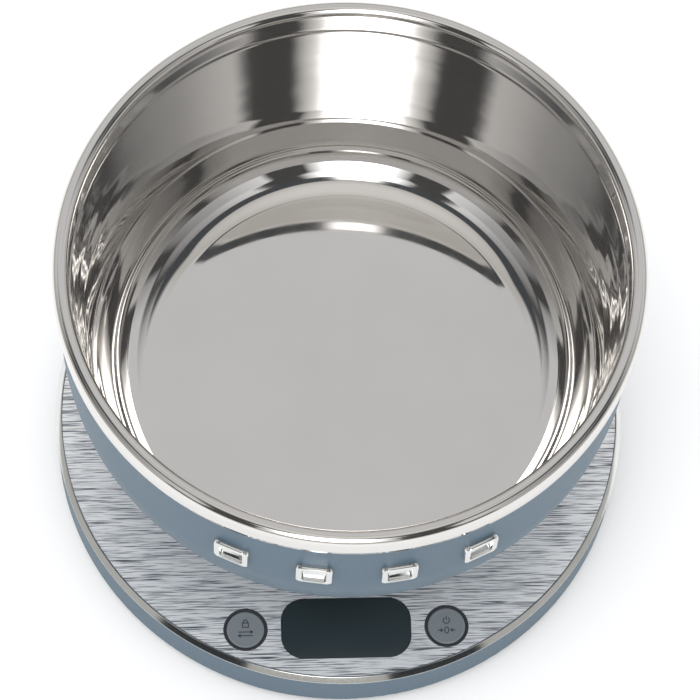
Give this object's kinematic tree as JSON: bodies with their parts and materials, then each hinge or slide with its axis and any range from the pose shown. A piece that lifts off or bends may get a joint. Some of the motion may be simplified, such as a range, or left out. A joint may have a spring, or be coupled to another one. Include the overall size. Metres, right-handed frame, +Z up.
{
  "type": "kitchen scale with mixing bowl",
  "caption": "Round digital kitchen scale with a low painted base, brushed steel plate, display, two push buttons and a deep lift-off double-walled steel bowl.",
  "frame": {"origin": "on the table at the centre of the round base, level with the undersides of the feet", "axes": "+Z up along the common axis of base and bowl; -Y towards the user, through the middle of the display; +X to the user's right"},
  "size_m": [0.21, 0.21, 0.1586],
  "materials": {
    "blue_paint": "satin slate blue paint",
    "white_plastic": "moulded",
    "brushed_steel": "coarse straight brushing along X",
    "polished_steel": "mirror polished",
    "chrome": "polished",
    "display_gloss": "smoked window",
    "lcd_glass": "display glass",
    "button_grey": "satin",
    "bezel_dark": "satin",
    "black_plastic": "moulded",
    "foot_plastic": "moulded",
    "rubber": "matt",
    "plain_steel": "stamped",
    "board_green": "solder mask",
    "plunger_red": "moulded",
    "cell_copper": "printed sleeve",
    "cell_blue": "printed sleeve",
    "wire_red": "insulated wire"
  },
  "bodies": {
    "base": {"base_housing": "blue_paint", "plate_carrier": "white_plastic", "top_plate": "brushed_steel", "trim_ring": "chrome", "display_window": "display_gloss", "lcd_panel": "lcd_glass", "lcd_backlight": "white_plastic", "zebra_strips": "rubber", "main_pcb": "board_green", "processor_blob": "black_plastic", "button_bezel_left": "bezel_dark", "button_bezel_right": "bezel_dark", "tact_switch_left": "black_plastic", "tact_switch_right": "black_plastic", "bottom_cover": "black_plastic", "load_cell_1": "plain_steel", "load_cell_2": "plain_steel", "load_cell_3": "plain_steel", "load_cell_4": "plain_steel", "foot_cap_1": "foot_plastic", "foot_cap_2": "foot_plastic", "foot_cap_3": "foot_plastic", "foot_cap_4": "foot_plastic", "foot_pad_1": "rubber", "foot_pad_2": "rubber", "foot_pad_3": "rubber", "foot_pad_4": "rubber", "battery_box": "black_plastic", "battery_a": "cell_copper", "battery_b": "cell_blue", "battery_springs": "chrome", "battery_contacts": "plain_steel", "case_screws": "plain_steel", "pcb_screws": "plain_steel", "wiring_harness": "wire_red"},
    "button_unit_body": {"button_unit": "button_grey", "switch_plunger_left": "plunger_red"},
    "button_tare_body": {"button_tare": "button_grey", "switch_plunger_right": "plunger_red"},
    "battery_door_body": {"battery_door": "black_plastic"},
    "bowl": {"bowl_liner": "polished_steel", "bowl_shell": "blue_paint", "bowl_foot_pad": "rubber", "bowl_badges": "chrome"}
  },
  "joints": [
    {"name": "unit_press", "type": "slide", "parent": "base", "child": "button_unit_body", "axis": [0, 0, -1], "range_m": [0, 0.0007], "stiffness_N_per_m": 600, "springref_m": -0.0004},
    {"name": "tare_press", "type": "slide", "parent": "base", "child": "button_tare_body", "axis": [0, 0, -1], "range_m": [0, 0.0007], "stiffness_N_per_m": 600, "springref_m": -0.0004},
    {"name": "battery_door_hinge", "type": "hinge", "parent": "base", "child": "battery_door_body", "pos_m": [0, 0.0102, 0.0042], "axis": [1, 0, 0], "range_deg": [0, 90]},
    {"name": "bowl_lift", "type": "slide", "parent": "base", "child": "bowl", "axis": [0, 0, 1], "range_m": [0, 0.15]}
  ]
}
